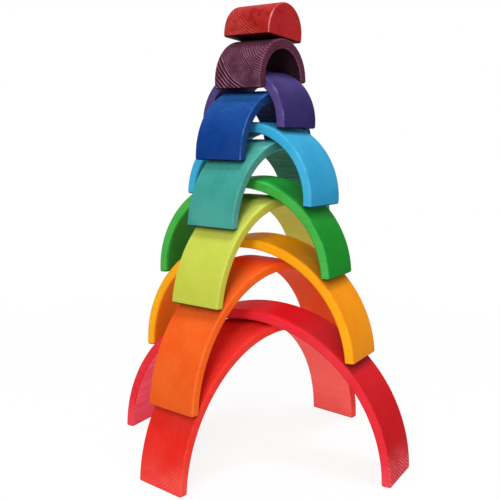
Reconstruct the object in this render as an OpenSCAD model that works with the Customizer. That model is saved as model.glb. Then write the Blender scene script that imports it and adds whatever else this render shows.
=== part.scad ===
// Rainbow stacker: eleven wooden arches and one solid half round, stacked as a tower.
// The two largest arches stand crossed on the floor. Every other arch straddles the tower, its span
// turned across the arch before it, and comes to rest on what its feet or its crown meets first.
// Millimetres, +Z up, origin on the floor under the crossing, +X along the span of the largest arch.

/* [Pieces] */
// Span of the largest arch, outside to outside
outer_span = 380; // [340:1:420]
// Span of the solid half round
core_span = 69; // [60:0.5:90]
// Height of the second largest arch
second_height = 171; // [155:0.5:190]
// Height of the solid half round
core_height = 42; // [36:0.5:50]
// Width of every piece, from side face to side face
piece_width = 69; // [50:0.5:76]
// Thickness of every arch
wall = 12; // [8:0.25:14]
// Radius of the rounded edges
edge = 2; // [1:0.25:3]

/* [Stack] */
// Clearance where one piece rests on another
seat_gap = 0.3; // [0.2:0.05:0.6]
// Clearance between the two largest arches where one crosses over the other
cross_gap = 0.4; // [0.3:0.1:3]

/* [Hidden] */
$fn = 96;

NODES = [
    "crimson_arch", "red_arch", "orange_arch", "amber_arch", "lime_arch", "green_arch",
    "teal_arch", "sky_arch", "blue_arch", "violet_arch", "plum_arch", "half_round"
];

// The tables below are in the order of the nodes, which is the order of size, largest first
function place(name) = search([name], NODES)[0];
last = len(NODES) - 1;

// Piece that each one follows in its own tower
tower_mates = [
    undef, undef, "red_arch", "crimson_arch", "orange_arch", "amber_arch",
    "lime_arch", "green_arch", "teal_arch", "sky_arch", "blue_arch", "plum_arch"
];
// What each piece rests on: the floor, its feet on the tower, the crown that it straddles, or its flat face
rests = [
    "floor", "floor", "feet", "feet", "feet", "feet",
    "feet", "feet", "feet", "crown", "crown", "flat"
];
// Direction of each span about Z, in degrees from X
yaws = [0, 78, 79.5, -0.5, 82, 0, 81.5, -5.5, 82, -8.5, 81.5, 81];
// How far each piece has rolled round the piece that carries it, in degrees
rolls = [0, 0, -0.5, 3.5, -5.5, 3, -3, -2.5, 1.5, -2, 6, -5];
// Slide of each piece along its own axis, as a share of its width
slide_shares = [0, 0, 0.02, 0.04, 0.08, -0.02, 0.06, 0.16, 0.15, 0.06, -0.04, 0.02];

half_turn = 180;
// How far cutting shapes run past what they cut
overrun = 5;
// Each rounding stands out from its corner by this share of its radius, so that it cuts both faces cleanly
bite_share = 0.03;
bite = bite_share * edge;
// Distance of the middle of a rounding from the two faces that it joins
rounding = edge - bite;

span_step = (outer_span - core_span) / last;
height_step = (second_height - core_height) / (last - 1);

function half_span(i) = (outer_span - i * span_step) / 2;

// How far the underside of the largest arch drops over half the width of the arch that it crosses
crossing_radius = half_span(0) - wall;
crossing_sag = crossing_radius - sqrt(pow(crossing_radius, 2) - pow(piece_width / 2, 2));

function piece_height(i) = i == 0
    ? second_height + cross_gap + crossing_sag + wall
    : second_height - (i - 1) * height_step;

// An arch is a circular bow: a tall one stands on straight legs, a flat one is less than a half circle
function bow_height(i) = min(piece_height(i), half_span(i));
function outer_radius(i) = (pow(half_span(i), 2) + pow(bow_height(i), 2)) / (2 * bow_height(i));
function inner_radius(i) = outer_radius(i) - wall;
function bow_z(i) = piece_height(i) - outer_radius(i);
function inner_half_span(i) = sqrt(pow(inner_radius(i), 2) - pow(min(bow_z(i), 0), 2));

// Directions of a placed piece: along its span, along its axis and from its feet to its crown
function span_way(i) = [cos(yaws[i]), sin(yaws[i]), 0];
function axis_way(i) = [-sin(yaws[i]), cos(yaws[i]), 0];
function crown_way(i) = [0, 0, cos(rolls[i])] - sin(rolls[i]) * span_way(i);
function slide(i) = slide_shares[i] * piece_width * axis_way(i);

// Middle of the rounding on the inner edge of a foot, from the bow centre: along the span and up
function foot_edge(i, side, roll) =
    let (
        out = side * (inner_half_span(i) + rounding),
        up = rounding - bow_z(i)
    )
    [out * cos(roll) - up * sin(roll), out * sin(roll) + up * cos(roll)];

// Height of the bow centre over that of the arch below, where a foot meets the outside of that arch.
// A turn between the two brings the corner of the foot closer to the middle.
function foot_rest(i, side, roll, drift) =
    let (
        mate = place(tower_mates[i]),
        turn = abs(yaws[i] - yaws[mate]),
        foot = foot_edge(i, side, roll),
        reach = abs(foot.x + drift) * cos(turn) - (piece_width / 2 - edge) * sin(turn),
        touch = outer_radius(mate) + seat_gap + edge
    )
    sqrt(max(pow(touch, 2) - pow(reach, 2), 0)) - foot.y;

// Height of the bow centre where the inside of an arch meets both edges of the crown that it crosses
function crown_rest(i, crown, drift) =
    let (
        ball = inner_radius(i) - edge - seat_gap,
        arm = piece_width / 2 - rounding + abs(drift)
    )
    ball > arm ? crown - rounding - sqrt(pow(ball, 2) - pow(arm, 2)) : 0;

// Height of the bow centre where a foot that has no room beside that crown stands on its edge
function foot_stop(i, side, crown, drift) =
    let (
        foot = foot_edge(i, side, rolls[i]),
        across = abs(foot.x + drift) - (piece_width / 2 - rounding),
        touch = 2 * edge + seat_gap
    )
    across < touch ? crown - rounding + sqrt(pow(touch, 2) - pow(max(across, 0), 2)) - foot.y : 0;

function straddle(i, crown, drift) =
    max(crown_rest(i, crown, drift), foot_stop(i, -1, crown, drift), foot_stop(i, 1, crown, drift));

function crown_top(i, centres) = centres[i].z + outer_radius(i);

// Bow centre of a piece, from the bow centres of the pieces that lie under it.
// A piece on its feet keeps both of them on the arch below as it rolls round that arch's bow centre.
function on_feet(i, centres) =
    let (
        seated = centres[place(tower_mates[i])] + slide(i) + foot_rest(i, 1, 0, 0) * crown_way(i),
        drift = (seated - centres[i - 1]) * span_way(i)
    )
    [seated.x, seated.y, max(seated.z, straddle(i, crown_top(i - 1, centres), drift))];

function on_crown(i, centres) =
    let (
        mate = centres[place(tower_mates[i])],
        middle = centres[i - 1] + slide(i),
        drift = (middle - mate) * span_way(i),
        feet = [for (side = [-1, 1]) mate.z + foot_rest(i, side, rolls[i], drift)]
    )
    [middle.x, middle.y, max(straddle(i, crown_top(i - 1, centres), 0), max(feet))];

function on_flat(i, centres) =
    centres[i - 1] + slide(i) + (outer_radius(i - 1) + seat_gap + bow_z(i)) * crown_way(i);

function centre(i, centres) =
    rests[i] == "floor" ? [0, 0, bow_z(i)]
    : rests[i] == "feet" ? on_feet(i, centres)
    : rests[i] == "crown" ? on_crown(i, centres)
    : on_flat(i, centres);

function settle(centres = []) =
    len(centres) > last ? centres
    : settle(concat(centres, [centre(len(centres), centres)]));

bow_centres = settle();

// What a rounding takes off a square corner at the origin, with the wood towards -X and -Y
module corner_waste() {
    translate([-rounding, -rounding])
        difference() {
            square(edge + overrun);
            circle(edge);
        }
}

// Cross-section of a bow between two radii, rounded at the outer edges and, on an arch, at the inner ones
module section(low, high) {
    difference() {
        translate([low, -piece_width / 2])
            square([high - low, piece_width]);
        for (flip = [0, 1])
            mirror([0, flip]) {
                translate([high, piece_width / 2])
                    corner_waste();
                if (low > 0)
                    translate([low, piece_width / 2])
                        mirror([1, 0])
                            corner_waste();
            }
    }
}

// Bow and legs before the feet are cut, from a radius of its inside to its outside
module blank(i, low) {
    high = outer_radius(i);
    translate([0, 0, bow_z(i)])
        rotate([half_turn / 2, 0, 0])
            rotate_extrude(angle = half_turn)
                section(low, high);
    if (bow_z(i) > 0)
        for (flip = [0, 1])
            mirror([flip, 0, 0])
                linear_extrude(height = bow_z(i))
                    section(low, high);
}

// Everything under the floor of a bow whose centre lies below its feet
module under_floor(i) {
    depth = overrun - bow_z(i);
    translate([-half_span(i) - overrun, -piece_width / 2 - overrun, -depth])
        cube([2 * (half_span(i) + overrun), piece_width + 2 * overrun, depth]);
}

// Roundings along the bottom edges of the feet; inner is the half span inside, or zero for a solid foot
module foot_roundings(i, inner) {
    rotate([half_turn / 2, 0, 0])
        linear_extrude(height = piece_width + 2 * overrun, center = true)
            for (flip = [0, 1])
                mirror([flip, 0]) {
                    translate([half_span(i), 0])
                        mirror([0, 1])
                            corner_waste();
                    if (inner > 0)
                        translate([inner, 0])
                            mirror([1, 0])
                                mirror([0, 1])
                                    corner_waste();
                }
    rotate([half_turn / 2, 0, half_turn / 2])
        linear_extrude(height = 2 * (half_span(i) + overrun), center = true)
            for (flip = [0, 1])
                mirror([flip, 0])
                    translate([piece_width / 2, 0])
                        mirror([0, 1])
                            corner_waste();
}

module placed(i) {
    translate(bow_centres[i] - bow_z(i) * crown_way(i))
        rotate([0, -rolls[i], yaws[i]])
            children();
}

module arch(name) {
    i = place(name);
    placed(i)
        difference() {
            blank(i, inner_radius(i));
            if (bow_z(i) < 0)
                under_floor(i);
            foot_roundings(i, inner_half_span(i));
        }
}

module crimson_arch() {
    color("#d5304f") arch("crimson_arch");
}

module red_arch() {
    color("#dd2f2a") arch("red_arch");
}

module orange_arch() {
    color("#ea6423") arch("orange_arch");
}

module amber_arch() {
    color("#f5a11f") arch("amber_arch");
}

module lime_arch() {
    color("#b7c94b") arch("lime_arch");
}

module green_arch() {
    color("#2f9e3f") arch("green_arch");
}

module teal_arch() {
    color("#4fa18d") arch("teal_arch");
}

module sky_arch() {
    color("#3fa9dc") arch("sky_arch");
}

module blue_arch() {
    color("#214f9e") arch("blue_arch");
}

module violet_arch() {
    color("#473a78") arch("violet_arch");
}

module plum_arch() {
    color("#6b3550") arch("plum_arch");
}

module half_round() {
    i = place("half_round");
    color("#b8262e")
        placed(i)
            difference() {
                blank(i, 0);
                foot_roundings(i, 0);
            }
}

crimson_arch();
red_arch();
orange_arch();
amber_arch();
lime_arch();
green_arch();
teal_arch();
sky_arch();
blue_arch();
violet_arch();
plum_arch();
half_round();
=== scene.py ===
"""Rainbow stacker: stained wooden arches and a half round, stacked crosswise as a tower."""
import math

import bmesh
import bpy
from mathutils import Euler, Matrix, Vector, noise


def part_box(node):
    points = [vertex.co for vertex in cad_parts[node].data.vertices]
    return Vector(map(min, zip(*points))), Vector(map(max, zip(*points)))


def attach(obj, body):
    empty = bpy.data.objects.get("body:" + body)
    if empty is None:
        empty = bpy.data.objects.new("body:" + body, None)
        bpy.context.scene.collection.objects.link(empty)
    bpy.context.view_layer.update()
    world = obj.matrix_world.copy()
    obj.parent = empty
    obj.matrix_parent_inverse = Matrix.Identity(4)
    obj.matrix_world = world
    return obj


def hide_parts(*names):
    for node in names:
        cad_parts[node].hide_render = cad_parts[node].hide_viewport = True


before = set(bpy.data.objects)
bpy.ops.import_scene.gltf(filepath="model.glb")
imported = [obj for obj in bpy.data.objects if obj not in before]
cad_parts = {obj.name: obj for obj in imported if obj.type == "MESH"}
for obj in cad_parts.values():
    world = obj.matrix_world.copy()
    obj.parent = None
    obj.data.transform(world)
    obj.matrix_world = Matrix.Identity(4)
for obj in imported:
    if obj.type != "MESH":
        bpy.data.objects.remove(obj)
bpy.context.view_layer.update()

# Crimson arch
# The largest of the set. All twelve pieces are sawn out of one block of lime wood, so they share the rings of
# its log. Each one is rounded and sanded by hand, stained and wiped with oil, and hands rub the stain thin on
# the edges, whose pale lines also stand in as a painted highlight. This one stands on the floor and just clears
# the red arch that it crosses.
WIDTH = 0.069
WALL = 0.012


class Tone:
    """A socket in a material or the world. Sums and products of values add Math nodes."""

    def __init__(self, socket):
        self.socket = socket

    def node(self, kind, settings, sockets, output=0):
        """Adds a node, makes its settings, then fills its sockets with values or links."""
        tree = self.socket.id_data
        made = tree.nodes.new("ShaderNode" + kind)
        for key, value in settings.items():
            setattr(made, key, value)
        for key, value in sockets.items():
            if isinstance(value, Tone):
                tree.links.new(value.socket, made.inputs[key])
            else:
                made.inputs[key].default_value = value
        return Tone(made.outputs[output])

    def outputs(self):
        return self.socket.node.outputs

    def math(self, operation, first, second=0.0):
        return self.node("Math", {"operation": operation}, {0: first, 1: second})

    def __add__(self, other):
        return self.math("ADD", self, other)

    def __sub__(self, other):
        return self.math("SUBTRACT", self, other)

    def __rsub__(self, other):
        return self.math("SUBTRACT", other, self)

    def __mul__(self, other):
        return self.math("MULTIPLY", self, other)

    def __truediv__(self, other):
        return self.math("DIVIDE", self, other)

    def __rtruediv__(self, other):
        return self.math("DIVIDE", other, self)

    __radd__ = __add__
    __rmul__ = __mul__

    def least(self, other):
        return self.math("MINIMUM", self, other)

    def most(self, other):
        return self.math("MAXIMUM", self, other)

    def size(self):
        return self.math("ABSOLUTE", self)

    def root(self):
        return self.math("SQRT", self)

    def wave(self):
        """A sine that comes round once for every whole number."""
        return self.math("SINE", self * math.tau)

    def climb(self, start, end, low=0.0, high=1.0, way="LINEAR"):
        """Runs from low at start to high at end, and stays there."""
        ends = {"From Min": start, "From Max": end, "To Min": low, "To Max": high}
        return self.node("MapRange", {"interpolation_type": way}, {"Value": self, **ends})

    def fade(self, start, end, low=0.0, high=1.0):
        """The same with soft ends."""
        return self.climb(start, end, low, high, "SMOOTHSTEP")

    def cloud(self, stretch, detail=2.0):
        """Noise about one unit across after the spot is stretched by three factors per metre."""
        spot = self.node("VectorMath", {"operation": "MULTIPLY"}, {0: self, 1: stretch})
        return self.node("TexNoise", {}, {"Vector": spot, "Scale": 1.0, "Detail": detail, "Roughness": 0.55})

    def blend(self, first, second):
        """Mixes two colours by this value."""
        return self.node("Mix", {"data_type": "RGBA"}, {0: self, 6: first, 7: second}, output=2)


def dye(code, coats=1.0, shade=1.0):
    """Linear colour of a hex code. More or fewer coats of the same stain make it deeper or paler."""
    parts = [int(code[i:i + 2], 16) / 255 for i in (0, 2, 4)]
    parts = [p / 12.92 if p <= 0.04045 else ((p + 0.055) / 1.055) ** 2.4 for p in parts]
    return [shade * p ** coats for p in parts] + [1.0]


def bow_radius(span, height):
    rise = min(height, span / 2)
    return (span * span / 4 + rise * rise) / (2 * rise)


# Edges between faces that meet at more than the sharp angle are rounded
EDGE = 0.0028
EDGE_STEPS = 5
SHARP = math.radians(50)

# Faces along a bow, across its width, and through the wall of an arch or the whole of a solid piece
BOW_STEPS = 96
WIDTH_STEPS = 8
WALL_STEPS = 2
SOLID_STEPS = 8
# A bow that is less than a half circle is made this much longer, in radians, and then cut off at the floor
SPARE = 0.004
SAME_SPOT = 1e-6


def saw_bow(span, height, wall):
    """An arch, or a solid half round where there is no wall, on its feet with its span along X."""
    radius = bow_radius(span, height)
    spring = height - radius
    thick = wall or radius
    lean = max(math.asin(max(-spring, 0) / radius) - SPARE, 0)
    bm = bmesh.new()
    section = (Matrix.Translation((0, 0, spring)) @ Matrix.Rotation(-lean, 4, "Y")
               @ Matrix.Translation((radius - thick / 2, 0, 0)) @ Matrix.Diagonal((thick, WIDTH, 1, 1)))
    bmesh.ops.create_grid(bm, x_segments=WALL_STEPS if wall else SOLID_STEPS, y_segments=WIDTH_STEPS,
                          size=0.5, matrix=section)
    bmesh.ops.spin(bm, geom=bm.faces[:] + bm.edges[:] + bm.verts[:], cent=(0, 0, spring), axis=(0, -1, 0),
                   angle=math.pi - 2 * lean, steps=BOW_STEPS)
    bmesh.ops.remove_doubles(bm, verts=bm.verts, dist=SAME_SPOT)
    if spring > 0:
        feet = [v for v in bm.verts if abs(v.co.z - spring) < SAME_SPOT]
        bmesh.ops.translate(bm, vec=(0, 0, -spring), verts=feet)
    else:
        bmesh.ops.bisect_plane(bm, geom=bm.faces[:] + bm.edges[:] + bm.verts[:], plane_co=(0, 0, 0),
                               plane_no=(0, 0, 1), clear_inner=True)
        bmesh.ops.holes_fill(bm, edges=[e for e in bm.edges if e.is_boundary], sides=0)
    bmesh.ops.recalc_face_normals(bm, faces=bm.faces)
    corners = [e for e in bm.edges if e.calc_face_angle(0) > SHARP]
    bmesh.ops.bevel(bm, geom=corners, offset=EDGE, offset_type="OFFSET", segments=EDGE_STEPS, profile=0.5,
                    affect="EDGES", clamp_overlap=True, material=-1)
    return bm


# Pith of the log, from the middle of a piece's width and up from its feet, and how far the rings sway
PITH_ASIDE = -0.060
PITH_UP = 0.097
SWAY = 0.007
# Zones of the log, out from the pith: start, end and number of rings
GROWTH = ((0, 0.083, 32), (0.083, 0.105, 12), (0.105, 0.305, 48))
# Where the rings of the middle zone begin to be faint and where those of the outer zone begin to be bold
FAINT = (0.078, 0.088)
BOLD = (0.100, 0.108)
# Evenly spaced rings come up over twice this distance
CLEARING = 0.006
# Part of a ring's wave that shows as a line
BROAD_LINE = -0.3
SLIM_LINE = 0.3
FULL_LINE = 0.95


def ring_lines(age, fine, yearly, clear_from):
    """Pale lines by distance from the pith: evenly spaced from some distance on, or as the log grew."""
    if yearly:
        years = age / yearly
        vivid = age.fade(clear_from - CLEARING, clear_from + CLEARING)
        line_start = BROAD_LINE
    else:
        years = sum(age.climb(start, end, 0, count) for start, end, count in GROWTH)
        vivid = age.fade(*FAINT, 0.9, fine) + age.fade(*BOLD, 0, 1.0 - fine)
        line_start = age.fade(*BOLD, BROAD_LINE, SLIM_LINE)
    return years.wave().fade(line_start, FULL_LINE) * vivid


# Depths under a face, an edge or a sole between which its own colour comes in: its finish, the rubbed edge that
# also paints a highlight, and the painted contact shadow of the sole
SKIN = (0.0007, 0.0002)
RUBBED = (0.0017, 0.0006)
SOLE = (0.0022, 0.0009)
# How much fibres and patches vary the depth of a rubbed edge, and the height of the grain
FIBRE_DEPTH = 0.0010
PATCH_DEPTH = 0.0030
GRAIN_HEIGHT = 0.0003
# Heights over the feet between which rings rise out of the sole, keep to the feet, and stain runs thin
SOLE_RINGS = (0.0003, 0.0012)
FOOT_RINGS = (0.05, 0.012)
THIN_FOOT = (0.048, 0.004)
# Slopes of the bow, 0 at the crown and 1 at a leg, between which end grain and long grain come in; the crown
# colour on the long grain holds painted light
END_GRAIN = (0.4, 1.0)
LONG_GRAIN = (0.55, 0.2)

# Coats of stain: where the rag left more and less of it, where it sank in, which also deepens the painted
# contact shadow of the soles, and where it is thin or rubbed off, which also paints the edge highlight
WET, DRY = 1.09, 0.94
SUNK = 1.6
THIN = 0.7
SCUFFED = 0.6
BARE = 0.5

# Roughness and shine of the oil
SATIN = 0.52
OIL_SHINE = 0.02


def stained_wood(name, span, height, wall, place, turn, stain, soak, flank, crown, side, drift, rings, foot,
                 wear, inner=None, fine=0.2, yearly=None, clear_from=0.0, pale=0.0, blotch=0.06, sawn=0.3,
                 scuffs=0.0, sole=0.12):
    """Stain over the rings and fibres of the block, thin on the edges that hands have rubbed.

    Colours: stain for the legs, soaked deeper into end grain by soak, and the colours of the side faces, the
    crown and the inside, which are partly stain and partly painted light and shade. The last argument sets how
    dark the soles are painted, as painted contact shadow.
    Rings: side is the one that the pith lies on, drift shifts them, rings is their strength, foot how much they
    keep to the feet and fine the strength of the narrow ones. yearly spaces them evenly, from clear_from on.
    Marks: the strength of the rubbed edges, which also paint a pale edge highlight, then pale, blotch, sawn and
    scuffs as the strengths of thin stain at the feet, sunk stain, saw marks on the inside and scuffs on the
    shoulders.
    """
    radius = bow_radius(span, height)
    spring = height - radius
    material = bpy.data.materials.new(name)
    material.use_nodes = True
    tree = material.node_tree
    shader = tree.nodes["Principled BSDF"]
    start = Tone(shader.inputs["Base Color"])
    spot = start.node("TexCoord", {}, {}, output="Object")
    spot = start.node("Mapping", {"vector_type": "TEXTURE"},
                      {"Vector": spot, "Location": place, "Rotation": turn})
    along, aside, up = (Tone(part) for part in start.node("SeparateXYZ", {}, {0: spot}).outputs())

    # Depth of a spot under the outside, the side faces, the feet and the inside, and under the nearest edge
    over = (up - spring).most(0.0)
    reach = (along * along + over * over).root()
    outside = radius - reach
    beside = WIDTH / 2 - aside.size()
    edge = outside.most(beside)
    on_flank = beside.fade(*SKIN)
    under = up.fade(*SOLE)
    slope = along.size() / reach
    end_grain = slope.climb(*END_GRAIN) * (1 - on_flank)
    long_grain = slope.fade(*LONG_GRAIN)
    if wall:
        inside = wall - outside
        edge = edge.least(inside.most(beside)).least(up.most(beside))
        edge = edge.least(up.most(outside)).least(up.most(inside))
        on_inside = inside.fade(*SKIN) * (1 - on_flank)

    mottle = spot.cloud((24, 24, 24), 3.0)
    patch = spot.cloud((60, 80, 80))
    fibre = spot.cloud((30, 900, 900), 3.0)
    streak = spot.cloud((8, 240, 240))
    sway = spot.cloud((10, 30, 30))

    # Rings show most in end grain and near the feet, and in patches
    from_side = aside - PITH_ASIDE * side
    from_top = up - PITH_UP
    age = (from_side * from_side + from_top * from_top).root() + (sway - 0.5) * SWAY + drift
    line = ring_lines(age, fine, yearly, clear_from)
    cut = (end_grain * 0.9 + 0.1) * up.fade(*SOLE_RINGS, 0.3, 1.0)
    line = line * cut * patch.fade(0.35, 0.65, 0.4, 1.0) * up.fade(*FOOT_RINGS, 1.0 - foot, 1.0)

    # Hands rub the edges unevenly, and less near the crown; the pale rubbed edges also paint an edge highlight,
    # which fades towards the crown as well
    worn = edge + (fibre - 0.5) * FIBRE_DEPTH + (patch - 0.5) * PATCH_DEPTH
    worn = worn.fade(*RUBBED) * up.fade(height * 0.95, height * 0.5, 0.3, 1.0) * wear

    # Stain as the rag left it on each kind of face, with painted light and shade in the colours of the crown,
    # the side faces and the inside
    tone = (mottle * 0.5 + fibre * 0.3 + streak * 0.2).fade(0.36, 0.62)

    def wiped(code, coats=1.0, shade=1.0):
        return tone.blend(dye(code, coats * WET, shade), dye(code, coats * DRY, shade))

    colour = end_grain.blend(wiped(stain), wiped(stain, soak, 0.9))
    # Crown colour: paler long grain plus painted light where the crown lies in the shade of the arch above; on
    # a few pieces it is darker, as painted shade.
    colour = long_grain.blend(colour, wiped(crown))
    # Side face colour: stain plus painted light and shade, darkest on the teal, blue and plum arches as painted
    # shade.
    colour = on_flank.blend(colour, wiped(flank))
    sunk = spot.cloud((55, 130, 130), 3.0).fade(0.5, 0.64) * (1 - on_flank * 0.6) * blotch
    if wall:
        saw = spot.cloud((700, 16, 700), 3.0).fade(0.42, 0.72)
        # Inside colour: stain plus painted light and shade, paler in the low arches as painted light and near
        # black in the blue and plum arches as painted shade in their hollows.
        rough_sawn = saw.blend(dye(inner, 1 + 0.15 * sawn), dye(inner, 1 - 0.35 * sawn))
        colour = on_inside.blend(colour, rough_sawn)
        line = line * (1 - on_inside * 0.8)
        sunk = sunk * (1 - on_inside)

    # Then what has sunk in, run thin, been scuffed and stayed pale, the rubbed edges, which also paint a
    # highlight, and the soles, painted dark as contact shadow
    colour = sunk.blend(colour, dye(stain, SUNK, 0.85))
    thin = up.fade(*THIN_FOOT) * mottle.fade(0.35, 0.6, 0.5, 1.0) * pale
    colour = thin.blend(colour, dye(stain, THIN))
    if scuffs:
        stroke = spot.cloud((90, 90, 520), 3.0).fade(0.52, 0.7) * patch.fade(0.4, 0.6)
        stroke = stroke * slope.fade(0.25, 0.5) * slope.fade(0.9, 0.6) * (1 - on_flank) * scuffs
        colour = stroke.blend(colour, dye(stain, SCUFFED))
    colour = (line * rings).blend(colour, dye(stain, BARE))
    # Rubbed edges, pale as bare wood, also paint the edge highlight, strongest on the half round.
    colour = worn.blend(colour, dye(stain, BARE))
    # Painted contact shadow: the soles and the lower rounding of the feet are painted dark.
    colour = under.blend(colour, dye(stain, SUNK, sole))
    tree.links.new(colour.socket, shader.inputs["Base Color"])

    rough = SATIN + (fibre - 0.5) * 0.3 + (mottle - 0.5) * 0.15 - worn * 0.06
    tree.links.new(rough.socket, shader.inputs["Roughness"])
    relief = line * rings * 0.7 + fibre * 0.4 + patch * 0.4
    bump = start.node("Bump", {}, {"Height": relief, "Strength": 0.3, "Distance": GRAIN_HEIGHT})
    tree.links.new(bump.socket, shader.inputs["Normal"])
    shader.inputs["Specular IOR Level"].default_value = OIL_SHINE
    return material


# Most that the sanding takes off, the least as a share of that, and its long and short waves per metre
SANDING = 0.00016
LEAST_SANDING = 0.1
LONG_WAVES = 22
SHORT_WAVES = 70


def set_in_stack(colour, node, span, height, yaw, roll, wall=WALL, **finish):
    """Saws a piece, sets it where its solid lies in the stack, sands it by hand and stains it."""
    bm = saw_bow(span, height, wall)
    turn = Euler((0, -math.radians(roll), math.radians(yaw)))
    bmesh.ops.transform(bm, matrix=turn.to_matrix().to_4x4(), verts=bm.verts)
    low = Vector(min(v.co[i] for v in bm.verts) for i in range(3))
    high = Vector(max(v.co[i] for v in bm.verts) for i in range(3))
    place = sum(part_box(node), Vector()) / 2 - (low + high) / 2
    bmesh.ops.translate(bm, vec=place, verts=bm.verts)
    bm.normal_update()
    for v in bm.verts:
        wave = noise.noise(v.co * LONG_WAVES) + 0.5 * noise.noise(v.co * SHORT_WAVES)
        v.co -= v.normal * SANDING * min(max(0.5 + 0.5 * wave, LEAST_SANDING), 1)
    mesh = bpy.data.meshes.new(colour + "_piece")
    bm.to_mesh(mesh)
    bm.free()
    for face in mesh.polygons:
        face.use_smooth = True
    piece = bpy.data.objects.new(colour + "_piece", mesh)
    bpy.context.scene.collection.objects.link(piece)
    piece.modifiers.new("flat_faces", "WEIGHTED_NORMAL").keep_sharp = False
    mesh.materials.append(stained_wood(colour + "_stain", span, height, wall, place, turn, **finish))
    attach(piece, colour)
    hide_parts(node)


# In each call below, the crown, flank and inner colours hold painted light and shade along with the stain, and
# sole sets the painted contact shadow on the soles.
set_in_stack("crimson", "crimson_arch", span=0.380, height=0.1868, yaw=0, roll=0,
             stain="d42a34", soak=1.5, flank="d92f3b", crown="ea2431", inner="fb5870",
             side=-1, drift=0, rings=0.8, foot=1, yearly=0.0037, clear_from=0.08,
             wear=0.15, pale=0.55, sawn=0.8, sole=0.5)

# Red arch
# The second arch of the block, stained a warm red.
# It stands on the floor under the crown of the crimson arch, turned nearly square to it.
set_in_stack("red", "red_arch", span=0.3517, height=0.171, yaw=78, roll=0,
             stain="e2352c", soak=1.08, flank="e23b31", crown="d8302c", inner="fc706a",
             side=-1, drift=0.002, rings=0.32, foot=1, yearly=0.0036, clear_from=0.105,
             wear=0.15, pale=0.5, sole=0.5)

# Orange arch
# The third arch of the block, stained orange.
# Its feet sit on the outside of the red one.
set_in_stack("orange", "orange_arch", span=0.3235, height=0.1581, yaw=79.5, roll=-0.5,
             stain="e35c20", soak=1.0, flank="e8621e", crown="f85c22", inner="ff6c38",
             side=1, drift=0.001, rings=0.03, foot=0.7, wear=0.25)

# Amber arch
# The fourth arch of the block, stained amber.
# Its feet sit on the outside of the crimson one, and it has rolled a little to the left.
set_in_stack("amber", "amber_arch", span=0.2952, height=0.1452, yaw=-0.5, roll=3.5,
             stain="ee9414", soak=1.05, flank="eba31a", crown="ff9f0a", inner="fa9020",
             side=1, drift=-0.002, rings=0.03, foot=0.6, wear=0.2)

# Lime arch
# The fifth arch of the block, stained pale lime green.
# Its feet sit on the outside of the orange one.
set_in_stack("lime", "lime_arch", span=0.2669, height=0.1323, yaw=82, roll=-5.5,
             stain="c6ce5c", soak=1.25, flank="bfbb44", crown="d0d05a", inner="e4f470",
             side=-1, drift=0.003, rings=0.03, foot=0.6, wear=0.2, sawn=0.7)

# Green arch
# The sixth arch of the block, stained green.
# Its feet sit on the outside of the amber one.
set_in_stack("green", "green_arch", span=0.2386, height=0.1194, yaw=0, roll=3,
             stain="2a9f3e", soak=1.4, flank="44a644", crown="3cd850", inner="3f9c3e",
             side=1, drift=0.001, rings=0.04, foot=0.6, wear=0.2, blotch=0.12)

# Teal arch
# The seventh arch of the block, stained teal.
# Its feet sit on the outside of the lime one.
set_in_stack("teal", "teal_arch", span=0.2104, height=0.1065, yaw=81.5, roll=-3,
             stain="4fa59a", soak=1.35, flank="4a8a7e", crown="80e8d8", inner="4c8a78",
             side=1, drift=-0.001, rings=0.03, foot=0.6, wear=0.25, pale=0.2, sawn=1.0)

# Sky arch
# The eighth arch of the block, stained sky blue.
# Its feet sit on the outside of the green one.
set_in_stack("sky", "sky_arch", span=0.1821, height=0.0936, yaw=-5.5, roll=-2.5,
             stain="40a4cc", soak=1.2, flank="3da6d0", crown="3a9fce", inner="3ba2d2",
             side=-1, drift=0.002, rings=0.03, foot=0.5, wear=0.3)

# Blue arch
# The ninth arch of the block, stained dark blue, with its shoulders a little scuffed.
# Its feet sit on the outside of the teal one.
set_in_stack("blue", "blue_arch", span=0.1538, height=0.0807, yaw=82, roll=1.5,
             stain="26569a", soak=1.4, flank="1d3f78", crown="3c88e8", inner="0a2048",
             side=-1, drift=0, rings=0.1, foot=0.7, yearly=0.0027, clear_from=0.105,
             wear=0.35, sawn=0.5, scuffs=0.3)

# Violet arch
# The tenth arch of the block, stained violet.
# Its crown rests on the crown of the blue one, and its feet hang just clear of the sky arch.
set_in_stack("violet", "violet_arch", span=0.1255, height=0.0678, yaw=-8.5, roll=-2,
             stain="50447d", soak=1.4, flank="4d4078", crown="483c78", inner="3c3064",
             side=1, drift=0.001, rings=0.03, foot=0.4, wear=0.4, blotch=0.15)

# Plum arch
# The eleventh arch of the block. Its plum stain has sunk into the soft wood between the rings, which stand
# out pale. Its crown rests on the crown of the violet one.
set_in_stack("plum", "plum_arch", span=0.0973, height=0.0549, yaw=81.5, roll=6,
             stain="5f3045", soak=1.4, flank="522436", crown="683c4a", inner="240e16",
             side=1, drift=0, rings=0.95, foot=0, fine=0.65, wear=0.2, blotch=0.3)

# Half round
# The core of the block, left solid and stained a deep red, with its edges rubbed the most and painted pale as a
# highlight.
# Its flat face rests on the plum arch.
set_in_stack("half_round", "half_round", span=0.069, height=0.042, yaw=81, roll=-5, wall=0,
             stain="ae3430", soak=1.2, flank="a72426", crown="a92828",
             side=1, drift=0.001, rings=0.3, foot=0, yearly=0.0029, clear_from=0.102,
             wear=1.0, blotch=0.7)

# Floor
# A plain white studio floor that runs out past the view.
# It looks white to the camera and keeps a soft shadow.
FLOOR = 12.0
# Share of the floor that is plain white near the object and further off, and where the one turns to the other
NEAR_WHITE, FAR_WHITE = 0.88, 1.0
NEAR, FAR = 0.3, 1.1
WHITE = (1, 1, 1, 1)


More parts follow.
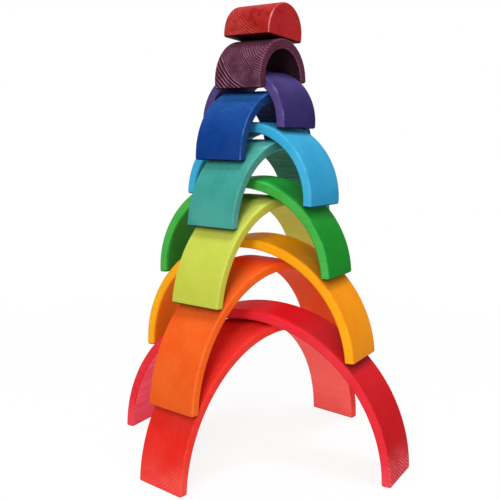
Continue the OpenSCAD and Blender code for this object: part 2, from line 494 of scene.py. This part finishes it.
def shows_background(tone):
    """1 for the rays that look straight at the background, or at it in a reflection or through glass."""
    rays = tone.node("LightPath", {}, {}).outputs()
    names = ("Is Camera Ray", "Is Glossy Ray", "Is Transmission Ray")
    straight, reflected, through = (Tone(rays[name]) for name in names)
    return straight.most(reflected).most(through)


bm = bmesh.new()
bmesh.ops.create_grid(bm, x_segments=1, y_segments=1, size=FLOOR / 2)
sheet = bpy.data.meshes.new("floor")
bm.to_mesh(sheet)
bm.free()
floor = bpy.data.objects.new("floor", sheet)
bpy.context.scene.collection.objects.link(floor)
white = bpy.data.materials.new("white_floor")
white.use_nodes = True
paint = white.node_tree.nodes["Principled BSDF"]
paint.inputs["Base Color"].default_value = (0.9, 0.9, 0.9, 1)
paint.inputs["Roughness"].default_value = 0.9
paint.inputs["Specular IOR Level"].default_value = 0.0
surface = Tone(white.node_tree.nodes["Material Output"].inputs["Surface"])
seen = shows_background(surface)
spot = surface.node("TexCoord", {}, {}, output="Object")
away = surface.node("VectorMath", {"operation": "LENGTH"}, {0: spot}, output="Value")
away = away.fade(NEAR, FAR, NEAR_WHITE, FAR_WHITE)
glow = surface.node("Emission", {}, {"Color": WHITE, "Strength": 1.0})
lit_sheet = surface.node("MixShader", {}, {0: seen * away, 1: Tone(paint.outputs[0]), 2: glow})
white.node_tree.links.new(lit_sheet.socket, surface.socket)
sheet.materials.append(white)

# Light
# A soft box low at the front, a weaker one over it to the right, one overhead, and an even pale surround.
AIM = Vector((0, 0, 0.28))
SURROUND = 0.42


def soft_box(name, place, side, watts):
    lamp = bpy.data.lights.new(name, "AREA")
    lamp.shape = "SQUARE"
    lamp.size = side
    lamp.energy = watts
    box = bpy.data.objects.new(name, lamp)
    box.location = place
    box.rotation_euler = (AIM - Vector(place)).to_track_quat("-Z", "Y").to_euler()
    bpy.context.scene.collection.objects.link(box)


soft_box("front_box", (1.00, -2.14, 2.13), side=0.7, watts=20)
soft_box("low_box", (0.75, -2.95, 1.50), side=0.8, watts=36)
soft_box("top_box", (0.30, 0.00, 3.40), side=0.9, watts=57)
world = bpy.data.worlds.new("surround")
world.use_nodes = True
bpy.context.scene.world = world
backdrop = world.node_tree.nodes["Background"]
backdrop.inputs["Color"].default_value = WHITE
strength = Tone(backdrop.inputs["Strength"])
pale = shows_background(strength) * (1 - SURROUND) + SURROUND
world.node_tree.links.new(pale.socket, strength.socket)

# Camera
# At the height of the upper arches, a little to the right of the front, with the lens moved as in the
# photograph.
CAMERA_PLACE = (0.4526, -0.8508, 0.4032)
CAMERA_TURN = math.radians(30.252)
CAMERA_PITCH = math.radians(-10.433)
CAMERA_ROLL = math.radians(0.446)
SENSOR = 36
IMAGE = 500
FOCAL_PX = 783.3
CENTRE_PX = (231.43, 274.26)
lens = bpy.data.cameras.new("camera")
lens.sensor_width = SENSOR
lens.lens = FOCAL_PX / IMAGE * SENSOR
lens.shift_x = 0.5 - CENTRE_PX[0] / IMAGE
lens.shift_y = CENTRE_PX[1] / IMAGE - 0.5
camera = bpy.data.objects.new("camera", lens)
camera.matrix_world = (
    Matrix.Translation(CAMERA_PLACE) @ Matrix.Rotation(CAMERA_TURN, 4, "Z")
    @ Matrix.Rotation(math.pi / 2 + CAMERA_PITCH, 4, "X") @ Matrix.Rotation(CAMERA_ROLL, 4, "Z"))
bpy.context.scene.collection.objects.link(camera)
bpy.context.scene.camera = camera
bpy.context.scene.view_settings.view_transform = "Standard"
